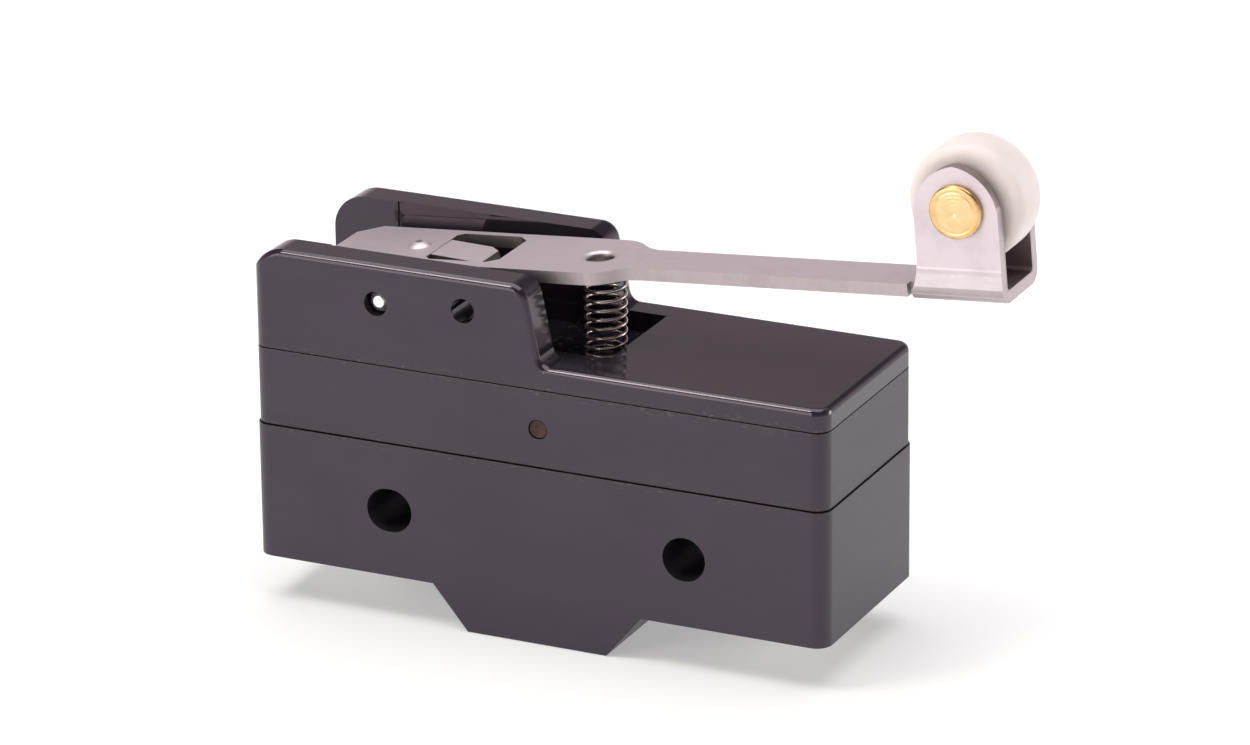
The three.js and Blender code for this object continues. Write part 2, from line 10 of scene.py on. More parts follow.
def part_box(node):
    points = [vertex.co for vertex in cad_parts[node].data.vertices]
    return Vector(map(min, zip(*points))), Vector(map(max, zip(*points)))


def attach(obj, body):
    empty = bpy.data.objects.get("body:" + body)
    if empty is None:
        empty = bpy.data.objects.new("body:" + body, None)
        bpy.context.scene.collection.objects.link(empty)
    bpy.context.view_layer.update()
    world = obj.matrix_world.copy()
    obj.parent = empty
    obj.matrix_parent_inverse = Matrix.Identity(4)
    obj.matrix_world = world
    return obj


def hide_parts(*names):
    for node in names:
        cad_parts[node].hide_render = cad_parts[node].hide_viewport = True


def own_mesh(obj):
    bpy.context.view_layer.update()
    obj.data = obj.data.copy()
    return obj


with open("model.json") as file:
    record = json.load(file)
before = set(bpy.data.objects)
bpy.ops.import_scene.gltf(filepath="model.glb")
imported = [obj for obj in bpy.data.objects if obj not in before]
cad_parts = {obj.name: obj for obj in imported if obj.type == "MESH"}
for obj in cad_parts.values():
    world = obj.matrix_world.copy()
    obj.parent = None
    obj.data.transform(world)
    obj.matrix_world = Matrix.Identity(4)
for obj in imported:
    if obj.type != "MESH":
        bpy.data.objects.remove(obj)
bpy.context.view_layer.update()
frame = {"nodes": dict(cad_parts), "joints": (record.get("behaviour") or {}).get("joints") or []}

mm = 0.001
joints = {joint["name"]: joint for joint in frame["joints"]}
pivot = np.array(joints["lever_pivot"]["pos_m"])
axle = np.array(joints["roller_spin"]["pos_m"])
middleY = pivot[1]
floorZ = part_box("base_case")[0].z - 0.05 * mm

leverTilt = math.radians(4.82)  # how far the arm climbs towards the roller
leverAlong = np.array((math.cos(leverTilt), 0.0, math.sin(leverTilt)))
leverNormal = np.array((-math.sin(leverTilt), 0.0, math.cos(leverTilt)))
alongY = (0.0, 1.0, 0.0)
alongZ = (0.0, 0.0, 1.0)

# the camera comes first, so that everything else can be judged through it
cameraSettings = {
    "azimuth": 25.454,
    "elevation": 20.426,
    "roll": -0.618,
    "distance": 488.5 * mm,
    "lens": 180.65,
    "sensor": 36.0,
    "nearest": 10 * mm,
    "aim": (3.74 * mm, middleY, 11.04 * mm),
}


def makeCamera(settings):
    # the camera looks back along a direction given by azimuth and elevation, then rolls
    azimuth = math.radians(settings["azimuth"])
    elevation = math.radians(settings["elevation"])
    roll = math.radians(settings["roll"])
    back = Vector((math.sin(azimuth) * math.cos(elevation),
                   -math.cos(azimuth) * math.cos(elevation), math.sin(elevation)))
    right = Vector((math.cos(azimuth), math.sin(azimuth), 0))
    up = back.cross(right)
    across = math.cos(roll) * right + math.sin(roll) * up
    upright = math.cos(roll) * up - math.sin(roll) * right
    turn = Matrix((across, upright, back)).transposed().to_4x4()
    lens = bpy.data.cameras.new("camera")
    lens.lens = settings["lens"]
    lens.sensor_width = settings["sensor"]
    lens.clip_start = settings["nearest"]
    camera = bpy.data.objects.new("camera", lens)
    spot = Vector(settings["aim"]) + back * settings["distance"]
    camera.matrix_world = Matrix.Translation(spot) @ turn
    bpy.context.scene.collection.objects.link(camera)
    bpy.context.scene.camera = camera


makeCamera(cameraSettings)
bpy.context.scene.view_settings.view_transform = "Standard"
print("camera placed")


class Wire:
    # one output socket that can be used like a number, so that shader maths reads as maths

    def __init__(self, recipe, socket):
        self.recipe = recipe
        self.socket = socket

    def __add__(self, other):
        return self.recipe.maths("ADD", self, other)

    def __radd__(self, other):
        return self.recipe.maths("ADD", other, self)

    def __sub__(self, other):
        return self.recipe.maths("SUBTRACT", self, other)

    def __rsub__(self, other):
        return self.recipe.maths("SUBTRACT", other, self)

    def __mul__(self, other):
        return self.recipe.maths("MULTIPLY", self, other)

    def __rmul__(self, other):
        return self.recipe.maths("MULTIPLY", other, self)


class Recipe:
    # the shader of a material or of the sky, and the nodes that feed it

    def __init__(self, owner, shader):
        owner.use_nodes = True
        self.owner = owner
        self.tree = owner.node_tree
        self.shader = self.tree.nodes[shader]

    def node(self, kind, settings=None, inputs=None, output=0):
        made = self.tree.nodes.new(kind)
        for key, value in (settings or {}).items():
            if key == "stops":
                self.fillRamp(made.color_ramp, value)
            else:
                setattr(made, key, value)
        for key, value in (inputs or {}).items():
            self.feed(made.inputs[key], value)
        return Wire(self, made.outputs[output])

    def fillRamp(self, ramp, stops):
        while len(ramp.elements) < len(stops):
            ramp.elements.new(1.0)
        for element, (position, colour) in zip(ramp.elements, stops):
            element.position = position
            element.color = (*colour, 1.0)

    def feed(self, socket, value):
        if isinstance(value, Wire):
            self.tree.links.new(value.socket, socket)
        elif isinstance(value, tuple) and len(value) == 3 and socket.type == "RGBA":
            socket.default_value = (*value, 1.0)
        else:
            socket.default_value = value

    def maths(self, operation, first, second=0.0):
        return self.node("ShaderNodeMath", {"operation": operation}, {0: first, 1: second})

    def blendColour(self, share, first, second, kind="MIX"):
        settings = {"data_type": "RGBA", "blend_type": kind}
        return self.node("ShaderNodeMix", settings, {0: share, 6: first, 7: second}, 2)

    def place(self):
        # the point on the piece, in millimetres, from the texture node's Object output
        point = self.node("ShaderNodeTexCoord", output=3)
        settings = {"operation": "SCALE"}
        return self.node("ShaderNodeVectorMath", settings, {0: point, "Scale": 1 / mm})

    def along(self, point, direction):
        # how far the point lies along a direction
        settings = {"operation": "DOT_PRODUCT"}
        return self.node("ShaderNodeVectorMath", settings, {0: point, 1: direction}, 1)

    def stretched(self, point, factors, shift=(0.0, 0.0, 0.0)):
        inputs = {"Vector": point, "Scale": factors, "Location": shift}
        return self.node("ShaderNodeMapping", {}, inputs)

    def noise(self, point, size, detail=2.0, roughness=0.5, distortion=0.0):
        # size is the width of one lump in millimetres
        inputs = {"Vector": point, "Scale": 1 / size, "Detail": detail,
                  "Roughness": roughness, "Distortion": distortion}
        return self.node("ShaderNodeTexNoise", {}, inputs)

    def cells(self, point, size):
        # distance to the nearest of the dots that are strewn about size millimetres apart
        inputs = {"Vector": point, "Scale": 1 / size}
        return self.node("ShaderNodeTexVoronoi", {"feature": "F1"}, inputs)

    def ranged(self, value, low, high, toLow=0.0, toHigh=1.0):
        inputs = {"Value": value, "From Min": low, "From Max": high,
                  "To Min": toLow, "To Max": toHigh}
        return self.node("ShaderNodeMapRange", {"interpolation_type": "SMOOTHSTEP"}, inputs)

    def bump(self, height, depth, strength=1.0):
        # depth is the height of a full step in millimetres
        inputs = {"Height": height, "Distance": depth * mm, "Strength": strength}
        return self.node("ShaderNodeBump", {}, inputs)

    def finish(self, **sockets):
        for key, value in sockets.items():
            self.feed(self.shader.inputs[key.replace("_", " ")], value)
        return self.owner


def newMaterial(name):
    return Recipe(bpy.data.materials.new(name), "Principled BSDF")


mouldedSettings = {
    "colour": (0.015, 0.011, 0.0185),
    "worn": (0.023, 0.0175, 0.027),
    "fleck": (0.05, 0.042, 0.045),
    "tint": (0.97, 0.84, 1.0),
    "chip": (0.11, 0.092, 0.092),
    "grain": 0.11,  # widths of one grain, flow mark, cloud, fleck, nick and scratch, mm
    "flow": 2.6,
    "cloud": 11.0,
    "fleckWidth": 0.55,
    "nick": 0.42,
    "scratch": 1.1,
    "seams": (5.56, 11.96),  # heights of the two joints between the mouldings, mm
    "seamReach": 0.75,  # how far from a joint its edges are chipped, mm
    "ior": 1.6,
}

mouldedFinishes = {
    # roughness, depth of the grain and depth of the flow marks, mm
    "moulded_phenolic": (0.37, 0.005, 0.02),
    "glossy_phenolic": (0.07, 0.0012, 0.006),
}


def mouldedPhenolic(settings, name):
    # fine grain, soft flow marks, pale flecks of filler, short scratches and nicks at the joints
    roughness, grainDepth, flowDepth = mouldedFinishes[name]
    recipe = newMaterial(name)
    point = recipe.place()
    fine = recipe.noise(point, settings["grain"], 3.0, 0.6)
    flow = recipe.noise(recipe.stretched(point, (0.3, 0.3, 1.0)), settings["flow"], 3.0, 0.5, 0.6)
    broad = recipe.noise(point, settings["cloud"], 2.0)
    flecks = recipe.ranged(recipe.cells(point, settings["fleckWidth"]), 0.0, 0.07, 1.0, 0.0)
    sparse = recipe.ranged(recipe.noise(point, 1.7, 1.0), 0.56, 0.62)
    patchy = recipe.ranged(flow * 0.5 + broad * 0.5, 0.35, 0.68)
    colour = recipe.blendColour(patchy * 0.6, settings["colour"], settings["worn"])
    colour = recipe.blendColour(flecks * sparse * 0.7, colour, settings["fleck"])
    up = recipe.along(point, alongZ)
    nearSeam = 0.0
    for seam in settings["seams"]:
        distance = recipe.maths("ABSOLUTE", up - seam)
        nearSeam = recipe.ranged(distance, settings["seamReach"], 0.04) + nearSeam
    flattened = recipe.stretched(point, (0.6, 0.6, 1.8))
    nicks = recipe.ranged(recipe.noise(flattened, settings["nick"], 4.0, 0.65), 0.60, 0.65)
    chips = nearSeam * nicks
    colour = recipe.blendColour(chips * 0.8, colour, settings["chip"])
    upright = recipe.stretched(point, (5.0, 5.0, 0.35))
    scratch = recipe.noise(upright, settings["scratch"], 2.0, 0.5, 0.3)
    scratches = recipe.ranged(scratch, 0.685, 0.72) * sparse
    varied = roughness + patchy * 0.04 + (fine - 0.5) * 0.08 + scratches * 0.1 + chips * 0.2
    normal = recipe.bump(flow, flowDepth, 0.6)
    inputs = {"Height": fine + flecks * sparse * 0.5 - chips * 3.0, "Distance": grainDepth * mm,
              "Normal": normal}
    return recipe.finish(Base_Color=colour, Roughness=varied, IOR=settings["ior"],
                         Normal=recipe.node("ShaderNodeBump", {}, inputs),
                         Specular_Tint=(*settings["tint"], 1.0))


stainlessSettings = {
    "colour": (0.665, 0.59, 0.625),
    "shade": (0.565, 0.495, 0.53),
    # colour of the cut edges: their own dark cut finish, made darker still with painted shade
    "sheared": (0.22, 0.18, 0.175),
    "paintedBracketShade": (0.20, 0.165, 0.155),  # painted shade inside the roller bracket, under the roller and between the ears
    "foot": (0.71, 0.66, 0.67),
    "footTop": 3.65,  # height above the pivot of the press line across each ear's foot, mm
    # each zone below fades in from its first measure to its second, mm
    "bracketStart": (43.4, 44.4),  # along the lever
    "earStart": (42.4, 42.6),
    "betweenEars": (2.8, 2.6),  # from the middle
    "earOutside": (3.3, 3.42),
    "aboveSheet": (1.85, 1.97),  # above the pivot
    "footFade": 0.12,
    "lineReach": 0.3,
    "roughness": 0.48,
    "grain": 0.12,
    "grainDepth": 0.006,
}


def alongLever(recipe, point):
    # how far along the lever a point is, how far above the pivot, and how far from the middle
    inputs = {0: point, 1: (pivot / mm).tolist()}
    local = recipe.node("ShaderNodeVectorMath", {"operation": "SUBTRACT"}, inputs)
    along = recipe.along(local, leverAlong.tolist())
    above = recipe.along(local, leverNormal.tolist())
    return along, above, recipe.maths("ABSOLUTE", recipe.along(local, alongY))


def blastedStainless(settings):
    # blasted faces, cut edges where the mesh says so, dark partly from their own cut finish and
    # partly from painted shade, painted shade inside the bracket, pressed feet
    recipe = newMaterial("blasted_stainless")
    point = recipe.place()
    # each face's share of cut edge and of painted shade, taken from the lever's mesh
    sheared = recipe.node("ShaderNodeAttribute", {"attribute_name": "sheared"}, output=2)
    along, above, across = alongLever(recipe, point)
    inside = recipe.ranged(along, *settings["bracketStart"])
    inside = inside * recipe.ranged(across, *settings["betweenEars"])
    # painted shade on the bracket's inner faces above the sheet; cut faces are left out
    paintedBracketShade = inside * recipe.ranged(above, *settings["aboveSheet"]) * (1 - sheared)
    press, fade = settings["footTop"], settings["footFade"]
    outside = recipe.ranged(across, *settings["earOutside"])
    outside = outside * recipe.ranged(along, *settings["earStart"])
    foot = outside * recipe.ranged(above, press + fade, press - fade)
    fromLine = recipe.maths("ABSOLUTE", above - press)
    pressLine = outside * recipe.ranged(fromLine, settings["lineReach"], 0.0)
    grain = recipe.noise(point, settings["grain"], 3.0, 0.65)
    pits = recipe.ranged(recipe.cells(point, 0.17), 0.0, 0.3, 1.0, 0.0)
    stain = recipe.ranged(recipe.noise(point, 3.2, 4.0, 0.6), 0.42, 0.7)
    streak = recipe.noise(recipe.stretched(point, (3.0, 3.0, 0.3)), 0.35, 2.0)
    scuff = recipe.noise(recipe.stretched(point, (0.5, 1.0, 1.6)), 0.8, 4.0, 0.7)
    scuff = recipe.ranged(scuff, 0.45, 0.7)
    face = recipe.blendColour(stain * 0.55 + pits * 0.2, settings["colour"], settings["shade"])
    face = recipe.blendColour(foot * (0.35 + scuff * 0.5), face, settings["foot"])
    # the bracket's inside darkened with painted shade
    face = recipe.blendColour(paintedBracketShade * 0.9, face, settings["paintedBracketShade"])
    # cut edges: their own streaked finish, in a dark colour that is partly painted shade
    edge = recipe.blendColour(streak * 0.35, settings["sheared"], settings["shade"])
    colour = recipe.blendColour(sheared, face, edge)
    faceRough = settings["roughness"] + stain * 0.05 + (grain - 0.5) * 0.1 - foot * scuff * 0.1
    roughness = faceRough - sheared * (0.10 - streak * 0.06)
    height = (grain + pits * 0.4) * (1 - sheared * 0.7) + streak * sheared + foot * scuff * 1.5
    height = height + pressLine * 6.0 - foot * 4.0
    normal = recipe.bump(height, settings["grainDepth"])
    return recipe.finish(Base_Color=colour, Roughness=roughness, Normal=normal, Metallic=1.0)


nylonSettings = {
    "colour": (0.775, 0.72, 0.70),
    "shade": (0.735, 0.675, 0.65),
    "roughness": 0.40,
    "glow": 0.8,  # share of the light that goes in
    "spread": (1.0, 0.85, 0.78),
    "depth": 1.6,  # how far light goes in, mm
}


def nylon(settings):
    # milky plastic: faint clouds, a very fine skin, and light that goes in a little
    recipe = newMaterial("natural_nylon")
    point = recipe.place()
    cloud = recipe.noise(point, 2.4, 3.0)
    fine = recipe.noise(point, 0.14, 3.0, 0.6)
    clouded = recipe.ranged(cloud, 0.35, 0.7)
    colour = recipe.blendColour(clouded, settings["colour"], settings["shade"])
    normal = recipe.bump(fine + cloud * 0.6, 0.004)
    return recipe.finish(Base_Color=colour, Roughness=settings["roughness"] + fine * 0.1,
                         Normal=normal, Subsurface_Weight=settings["glow"],
                         Subsurface_Radius=settings["spread"],
                         Subsurface_Scale=settings["depth"] * mm)


brassSettings = {
    "colour": (0.83, 0.60, 0.33),
    "dark": (0.66, 0.38, 0.11),
    "roughness": 0.24,
    "marks": 0.30,  # spacing of the turning marks, mm
    "rim": (1.3, 2.1),  # radii between which the head darkens, mm
}


def turnedBrass(settings, centre):
    # rings about an axle that lies along Y
    recipe = newMaterial("turned_brass")
    point = recipe.place()
    shift = (-centre[0] / mm, 0.0, -centre[2] / mm)
    local = recipe.stretched(point, (1.0, 0.0, 1.0), shift)
    radius = recipe.node("ShaderNodeVectorMath", {"operation": "LENGTH"}, {0: local}, 1)
    wobble = recipe.noise(point, 0.5, 3.0)
    rings = recipe.maths("SINE", (radius + wobble * 0.15) * (2 * math.pi / settings["marks"]))
    stain = recipe.ranged(recipe.noise(point, 0.8, 4.0, 0.65), 0.42, 0.7)
    rim = recipe.ranged(radius, *settings["rim"])
    colour = recipe.blendColour(stain * 0.35 + rim * 0.4, settings["colour"], settings["dark"])
    normal = recipe.bump(rings * 0.5 + wobble * 1.2, 0.008)
    return recipe.finish(Base_Color=colour, Roughness=settings["roughness"] + stain * 0.1,
                         Normal=normal, Metallic=1.0)


metalSettings = {
    # bright colour, dull colour, roughness
    "spring_wire": ((0.46, 0.41, 0.38), (0.27, 0.225, 0.20), 0.20),
    "ground_pin": ((0.92, 0.90, 0.91), (0.78, 0.76, 0.77), 0.30),
    "terminal_brass": ((0.84, 0.64, 0.31), (0.60, 0.42, 0.19), 0.30),
    "zinc_plate": ((0.72, 0.72, 0.70), (0.55, 0.54, 0.50), 0.30),
    "copper_strip": ((0.78, 0.50, 0.30), (0.56, 0.33, 0.19), 0.28),
    "contact_silver": ((0.90, 0.89, 0.87), (0.70, 0.68, 0.64), 0.25),
}


def stampedMetal(name):
    # dull patches, a fine grain and faint lines along the sheet
    bright, dull, rough = metalSettings[name]
    recipe = newMaterial(name)
    point = recipe.place()
    stain = recipe.ranged(recipe.noise(point, 1.4, 4.0, 0.6), 0.4, 0.72)
    grain = recipe.noise(point, 0.08, 2.0)
    drawn = recipe.noise(recipe.stretched(point, (0.2, 2.0, 2.0)), 0.3, 2.0)
    colour = recipe.blendColour(stain, bright, dull)
    normal = recipe.bump(grain * 0.5 + drawn * 0.5, 0.003)
    return recipe.finish(Base_Color=colour, Roughness=rough + stain * 0.12 + grain * 0.05,
                         Normal=normal, Metallic=1.0)


resinSettings = {
    # bright colour, dark colour, roughness, tint of the gloss and its strength
    "seal": ((0.050, 0.026, 0.020), (0.022, 0.011, 0.008), 0.34, (1.0, 0.80, 0.72), 0.32),
    "plunger": ((0.26, 0.045, 0.03), (0.17, 0.03, 0.022), 0.34, (1.0, 1.0, 1.0), 0.5),
}


def castResin(name):
    # cloudy plastic with a fine, uneven skin
    bright, dark, rough, tint, gloss = resinSettings[name]
    recipe = newMaterial(name + "_resin")
    point = recipe.place()
    cloud = recipe.ranged(recipe.noise(point, 0.7, 4.0, 0.6), 0.35, 0.7)
    fine = recipe.noise(point, 0.09, 3.0)
    colour = recipe.blendColour(cloud, bright, dark)
    normal = recipe.bump(fine + cloud, 0.006)
    return recipe.finish(Base_Color=colour, Roughness=rough + fine * 0.12, Normal=normal,
                         Specular_Tint=(*tint, 1.0), Specular_IOR_Level=gloss)


lowerMoulding = mouldedPhenolic(mouldedSettings, "moulded_phenolic")
upperMoulding = mouldedPhenolic(mouldedSettings, "glossy_phenolic")
stainless = blastedStainless(stainlessSettings)
axleBrass = turnedBrass(brassSettings, axle)
print("materials ready")


meshSettings = {
    "merge": 1e-6,  # points of a node's copy closer than this become one, m
    "close": 1e-7,  # the same at the seams and poles of a new surface
    "sliver": 1e-8,
    "flat": math.radians(0.5),  # faces that turn less than this are one face
    "sharp": math.radians(35),  # edges that turn more than this stay crisp
    "rounded": math.radians(40),  # edges that turn more than this are rounded
    "cornerShare": 0.48,  # the most of a side that one rounded corner may take
}


def meshObject(name, points, faces):
    # a mesh from an array of points and an array of four-cornered faces
    mesh = bpy.data.meshes.new(name)
    mesh.vertices.add(len(points))
    mesh.vertices.foreach_set("co", points.astype(np.float32).ravel())
    mesh.loops.add(faces.size)
    mesh.loops.foreach_set("vertex_index", faces.astype(np.int32).ravel())
    mesh.polygons.add(len(faces))
    starts = np.arange(0, faces.size, faces.shape[1], dtype=np.int32)
    mesh.polygons.foreach_set("loop_start", starts)
    mesh.update(calc_edges=True)
    piece = bpy.data.objects.new(name, mesh)
    bpy.context.scene.collection.objects.link(piece)
    return piece


def gridFaces(rows, columns, closeRows, closeColumns):
    # index of every cell's four corners on a grid that may wrap round either way
    i = np.arange(rows if closeRows else rows - 1)[:, None]
    j = np.arange(columns if closeColumns else columns - 1)[None, :]
    nextI = (i + 1) % rows
    nextJ = (j + 1) % columns
    corners = [i * columns + j, i * columns + nextJ, nextI * columns + nextJ, nextI * columns + j]
    return np.stack([np.broadcast_to(c, (i.size, j.size)) for c in corners], -1).reshape(-1, 4)


def smoothShaded(mesh):
    # smooth but for true edges
    mesh.polygons.foreach_set("use_smooth", [True] * len(mesh.polygons))
    mesh.set_sharp_from_angle(angle=meshSettings["sharp"])


def tidySurface(piece):
    # poles and seams closed, faces outward
    work = bmesh.new()
    work.from_mesh(piece.data)
    bmesh.ops.remove_doubles(work, verts=work.verts, dist=meshSettings["close"])
    bmesh.ops.dissolve_degenerate(work, edges=work.edges, dist=meshSettings["sliver"])
    bmesh.ops.recalc_face_normals(work, faces=work.faces)
    work.to_mesh(piece.data)
    work.free()
    smoothShaded(piece.data)
    return piece


def gridSurface(name, grid, closeRows=False, closeColumns=False):
    rows, columns = grid.shape[:2]
    faces = gridFaces(rows, columns, closeRows, closeColumns)
    return tidySurface(meshObject(name, grid.reshape(-1, 3), faces))


def softened(outline, reach, steps=5):
    # rounds the inner corners: from A, reach before the corner C, to B, reach after it, runs
    # the curve (1-t)(1-t) A + 2t(1-t) C + t t B
    most = meshSettings["cornerShare"]
    outline = np.array(outline, float)
    before, corner, after = outline[:-2], outline[1:-1], outline[2:]
    reach = np.broadcast_to(reach, (len(corner),))[:, None]
    backward, forward = before - corner, after - corner
    lengthBack = np.linalg.norm(backward, axis=1, keepdims=True)
    lengthOn = np.linalg.norm(forward, axis=1, keepdims=True)
    a = corner + backward / lengthBack * np.minimum(reach, lengthBack * most)
    b = corner + forward / lengthOn * np.minimum(reach, lengthOn * most)
    t = np.linspace(0, 1, steps)[None, :, None]
    curve = (1 - t) ** 2 * a[:, None] + 2 * t * (1 - t) * corner[:, None] + t ** 2 * b[:, None]
    return np.vstack([outline[:1], curve.reshape(-1, 2), outline[-1:]])


def turnedSurface(name, profile, centre, direction, sides, ring=False):
    # a profile of (radius, height) in mm turned about a line: centre + height along the line
    # + radius (cos a first + sin a second), with first and second square to the line
    line = np.array(direction, float)
    line /= np.linalg.norm(line)
    first = np.cross(line, alongZ if abs(line[2]) < 0.9 else alongY)
    first /= np.linalg.norm(first)
    second = np.cross(line, first)
    angle = np.arange(sides) * 2 * math.pi / sides
    spoke = np.cos(angle)[:, None] * first + np.sin(angle)[:, None] * second
    radius, height = np.array(profile, float).T * mm
    grid = np.array(centre) + height[:, None, None] * line + radius[:, None, None] * spoke[None]
    return gridSurface(name, grid, closeRows=ring, closeColumns=True)


def dressed(piece, body, node, material):
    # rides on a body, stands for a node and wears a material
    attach(piece, body)
    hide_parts(node)
    piece.data.materials.clear()
    piece.data.materials.append(material)
    return piece


def roundEdges(piece, width, segments):
    # every true edge rounded to the width in mm, with the flats still shaded flat
    bevel = piece.modifiers.new("edges", "BEVEL")
    bevel.width = width * mm
    bevel.segments = segments
    bevel.limit_method = "ANGLE"
    bevel.angle_limit = meshSettings["rounded"]
    bevel.use_clamp_overlap = True
    bevel.miter_outer = "MITER_ARC"
    flatter = piece.modifiers.new("flat_faces", "WEIGHTED_NORMAL")
    flatter.weight = 100
    flatter.keep_sharp = True
    return piece


def edgedCopy(node, name, width, segments=3):
    # the node's own faces, joined up, with every true edge rounded
    mesh = frame["nodes"][node].data.copy()
    piece = bpy.data.objects.new(name, mesh)
    bpy.context.scene.collection.objects.link(piece)
    work = bmesh.new()
    work.from_mesh(mesh)
    bmesh.ops.remove_doubles(work, verts=work.verts, dist=meshSettings["merge"])
    bmesh.ops.dissolve_limit(work, angle_limit=meshSettings["flat"], verts=work.verts,
                             edges=work.edges)
    work.to_mesh(mesh)
    work.free()
    smoothShaded(mesh)
    return roundEdges(piece, width, segments)


mouldingSettings = {
    # name, width of the rounded edges in mm, slot, material
    "base_case": ("lower_moulding", 0.15, "phenolic_base", lowerMoulding),
    "middle_case": ("middle_moulding", 0.12, "phenolic_middle", lowerMoulding),
    "cover": ("top_moulding", 0.10, "phenolic_cover", upperMoulding),
}

for node, (name, width, slot, material) in mouldingSettings.items():
    dressed(edgedCopy(node, name, width), "body", node, material)
print("mouldings edged")


leverSettings = {
    "edge": 0.09,
    "sheetTop": 2.0,  # height of the sheet's upper face above the pivot, mm
    "sheet": 1.0,
    "mouthAt": 15.45,  # the spring's hole, along the arm from the pivot
    "mouthInner": 1.08,
    "mouthOuter": 1.50,
    "mouthRoll": 0.42,
    "dimpleAt": -0.35,
    "dimpleRadius": 0.97,
    "dimpleHeight": 0.36,
    "dimplePower": 2.6,
}

shearSettings = {
    "earFrom": 0.35,  # faces this far above the sheet's upper face belong to the ears, mm
    "earBelow": 1.35,  # and so do faces this far below it
    "window": (1.0, 8.3, 3.6),  # start, end and half width of the window's surroundings, mm
    "hole": 1.3,  # the same for the spring's hole, as a half width
    "pale": 0.55,  # share of painted shade on the other cut faces; the faces round the window and the hole, and those that look up, have 1
}


def onLever(u):
    # the point of the pivot's plane that lies u mm along the sheet
    return pivot + u * mm * leverAlong


def join(main, others):
    # the other pieces' faces go into the main piece's mesh
    work = bmesh.new()
    work.from_mesh(main.data)
    for other in others:
        work.from_mesh(other.data)
        bpy.data.objects.remove(other)
    work.to_mesh(main.data)
    work.free()


def markCutsAndShade(piece, top, mouthAt, settings):
    # how dark each cut face is painted. A face is cut if it stands square to the sheet in the flat
    # part, or square to the ears above and below it. Round the window and the hole, and where a
    # face looks up, it gets the full painted shade
    mesh = piece.data
    normals = np.empty(len(mesh.polygons) * 3)
    centres = np.empty(len(mesh.polygons) * 3)
    mesh.polygons.foreach_get("normal", normals)
    mesh.polygons.foreach_get("center", centres)
    normals, centres = normals.reshape(-1, 3), centres.reshape(-1, 3)
    height = (centres - pivot) @ leverNormal
    flatPart = np.abs(normals @ leverNormal) < 0.5
    earPart = np.abs(normals[:, 1]) < 0.5
    above = height > (top + settings["earFrom"]) * mm
    below = height < (top - settings["earBelow"]) * mm
    along = (centres - pivot) @ leverAlong / mm
    across = np.abs(centres[:, 1] - middleY) / mm
    start, end, half = settings["window"]
    window = (along > start) & (along < end) & (across < half)
    hole = (np.abs(along - mouthAt) < settings["hole"]) & (across < settings["hole"])
    upward = normals @ leverNormal > 0.2
    # painted shade: full round the window, round the hole and on faces that look up, less on other
    # cut faces
    shade = np.where(window | hole | upward, 1.0, settings["pale"])
    cut = (np.where(above | below, earPart, flatPart) * shade).astype(np.float32)
    mesh.attributes.new("sheared", "FLOAT", "FACE").data.foreach_set("value", cut)


def makeLever(settings):
    sheet = edgedCopy("lever", "lever_sheet", settings["edge"])
    top = settings["sheetTop"]
    low = top - settings["sheet"]
    inner, outer, roll = settings["mouthInner"], settings["mouthOuter"], settings["mouthRoll"]
    # the hole's rolled mouth: the radius runs from outer to inner over a quarter turn, then down
    share = np.linspace(0, math.pi / 2, 10)
    curve = np.stack([outer - (outer - inner) * np.sin(share),
                      top + 0.015 - roll * (1 - np.cos(share))], -1)
    back = np.array([(inner, low - 0.01), (inner + 0.15, low - 0.01),
                     (inner + 0.2, top - roll - 0.1), (outer + 0.05, top - 0.15)])
    rim = turnedSurface("rim", np.vstack([curve, back]), onLever(settings["mouthAt"]),
                        leverNormal, 72, ring=True)
    # the dimple: a shallow dome, rise (1 - share ** power) high at that share of its reach
    reach, rise = settings["dimpleRadius"], settings["dimpleHeight"]
    share = np.linspace(1, 0, 14)
    dome = np.stack([reach * share, top + 0.01 + rise * (1 - share ** settings["dimplePower"])], -1)
    dome = np.vstack([[(0, top - 0.3), (reach, top - 0.3)], dome])
    dimple = turnedSurface("dimple", dome, onLever(settings["dimpleAt"]), leverNormal, 48)
    join(sheet, [rim, dimple])
    markCutsAndShade(sheet, top, settings["mouthAt"], shearSettings)
    return sheet


dressed(makeLever(leverSettings), "lever", "lever", stainless)
print("lever made")


rollerSettings = {
    "radius": 4.7,
    "front": -2.05,  # both sides, measured from the middle of the lever
    "back": 2.39,
    "bore": 1.4,
    "edge": 1.15,
    "hub": 2.6,
    "dish": 0.06,
    "rounding": 0.12,
}


def makeRoller(settings):
    # a ring: tread with well rounded edges, sides a little below the hubs, and the bore
    radius, bore, hub = settings["radius"], settings["bore"], settings["hub"]
    front, back, dish = settings["front"], settings["back"], settings["dish"]
    outline = [(bore, 0.0), (bore, back - 0.05), (hub, back), (hub + 0.2, back - dish),
               (radius, back - dish), (radius, front + dish), (hub + 0.2, front + dish),
               (hub, front), (bore, front + 0.05), (bore, 0.0)]
    reach = np.full(len(outline) - 2, settings["rounding"])
    reach[3:5] = settings["edge"]  # the tread's two corners
    profile = softened(outline, reach, 9)[:-1]
    return turnedSurface("roller_tread", profile, axle, alongY, 128, ring=True)


axleSettings = {
    "radius": 1.1,
    "head": 2.1,
    "from": 3.55,  # the heads' inner faces, measured from the middle of the lever
    "crown": 0.52,
    "doming": 0.07,
    "edge": 0.22,
    "rim": 1.62,  # radius of the ring pressed near the rim
    "rimWidth": 0.06,
    "rimDepth": 0.03,
    "mark": 0.16,  # width and depth of the centre mark
    "markDepth": 0.05,
}


